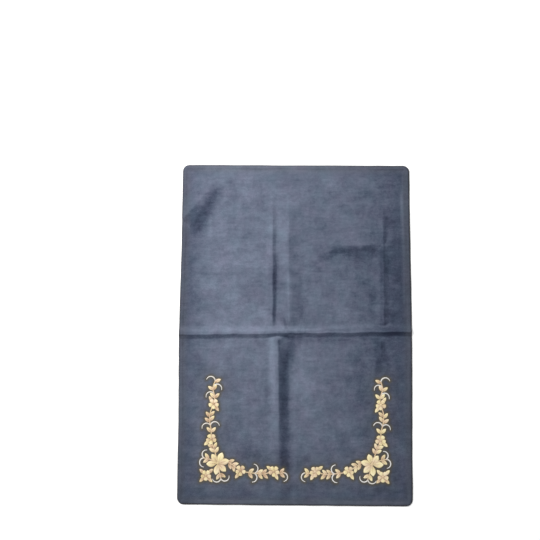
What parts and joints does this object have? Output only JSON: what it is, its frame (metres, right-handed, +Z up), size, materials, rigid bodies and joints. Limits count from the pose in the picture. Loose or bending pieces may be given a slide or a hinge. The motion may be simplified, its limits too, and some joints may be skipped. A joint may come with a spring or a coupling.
{
  "type": "prayer rug",
  "caption": "Thin rectangular velvet prayer rug with rounded corners, laid flat with soft fold creases, with raised floral thread sprays at the foot corners.",
  "frame": {"origin": "on the ground under the middle of the rug", "axes": "+X across the rug to the right, +Y from the embroidered foot edge to the head edge, +Z up"},
  "size_m": [0.756, 1.1, 0.0075],
  "materials": {
    "navy_velvet": "dark navy short-nap velvet, brushed unevenly, with a soft sheen",
    "gold_thread": "pale gold satin-stitch thread with a silky gloss"
  },
  "bodies": {
    "root": {"rug": "navy_velvet", "spray_left": "gold_thread", "spray_right": "gold_thread", "corner_flower_left": "gold_thread", "corner_flower_right": "gold_thread"}
  },
  "joints": []
}
